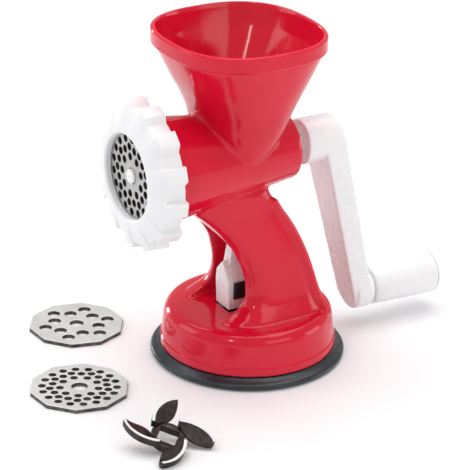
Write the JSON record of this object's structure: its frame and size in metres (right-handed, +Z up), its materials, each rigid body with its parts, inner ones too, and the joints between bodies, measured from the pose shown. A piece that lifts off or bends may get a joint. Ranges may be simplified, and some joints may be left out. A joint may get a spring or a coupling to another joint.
{
  "type": "meat grinder",
  "caption": "Hand-cranked table meat grinder with a flared hopper, ring nut and cutting plate, crank with turning grip, and a lever-locked suction foot; spare plates and knife beside it.",
  "frame": {"origin": "on the table under the centre of the suction foot", "axes": "+Z up; the barrel lies along Y at x = 0, its food outlet faces -Y and the crank is at +Y"},
  "size_m": [0.2266, 0.2995, 0.2208],
  "materials": {
    "red_plastic": "gloss",
    "white_plastic": "satin",
    "black_rubber": "satin",
    "black_plastic": "matte",
    "plate_steel": "brushed",
    "knife_steel": "dark with ground edges",
    "zinc_steel": "satin"
  },
  "bodies": {
    "base": {"housing": "red_plastic", "suction_cup": "black_rubber"},
    "stem": {"cup_stem": "black_plastic"},
    "lever": {"suction_lever": "white_plastic", "lever_pin": "black_plastic", "lever_pin_clip": "zinc_steel"},
    "outlet_plate": {"fine_plate": "plate_steel"},
    "nut": {"ring_nut": "white_plastic"},
    "crank": {"auger": "white_plastic", "knife": "knife_steel", "thrust_washer": "zinc_steel", "crank_arm": "white_plastic", "crank_screw": "zinc_steel", "handle_axle": "zinc_steel", "handle_washer": "white_plastic"},
    "grip": {"handle_grip": "white_plastic", "handle_cap": "white_plastic"},
    "loose_fine_plate": {"spare_fine_plate": "plate_steel"},
    "loose_coarse_plate": {"spare_coarse_plate": "plate_steel"},
    "loose_knife": {"spare_knife": "knife_steel"}
  },
  "joints": [
    {"name": "crank_turn", "type": "hinge", "parent": "base", "child": "crank", "pos_m": [0, 0, 0.138], "axis": [0, 1, 0], "continuous": true},
    {"name": "grip_turn", "type": "hinge", "parent": "crank", "child": "grip", "pos_m": [0, 0.12, 0.0244], "axis": [0, 1, 0], "continuous": true},
    {"name": "plate_forward", "type": "slide", "parent": "base", "child": "outlet_plate", "axis": [0, -1, 0], "range_m": [0, 0.008]},
    {"name": "nut_unscrew", "type": "hinge", "parent": "outlet_plate", "child": "nut", "pos_m": [0, -0.08, 0.138], "axis": [0, -1, 0], "range_deg": [0, 720]},
    {"name": "stem_lift", "type": "slide", "parent": "base", "child": "stem", "axis": [0, 0, 1], "range_m": [-0.004, 0]},
    {"name": "lever_fold", "type": "hinge", "parent": "stem", "child": "lever", "pos_m": [0, -0.0116, 0.048], "axis": [-1, 0, 0], "range_deg": [0, 85]},
    {"name": "lift_fine_plate", "type": "slide", "parent": "base", "child": "loose_fine_plate", "axis": [0, 0, 1], "range_m": [0, 0.08]},
    {"name": "lift_coarse_plate", "type": "slide", "parent": "base", "child": "loose_coarse_plate", "axis": [0, 0, 1], "range_m": [0, 0.12]},
    {"name": "lift_knife", "type": "slide", "parent": "base", "child": "loose_knife", "axis": [0, 0, 1], "range_m": [0, 0.12]}
  ],
  "couplings": [
    {"joint": "plate_forward", "follows": "nut_unscrew", "m_per_rad": 0.000636},
    {"joint": "lever_fold", "follows": "stem_lift", "rad_per_m": -370.88}
  ]
}
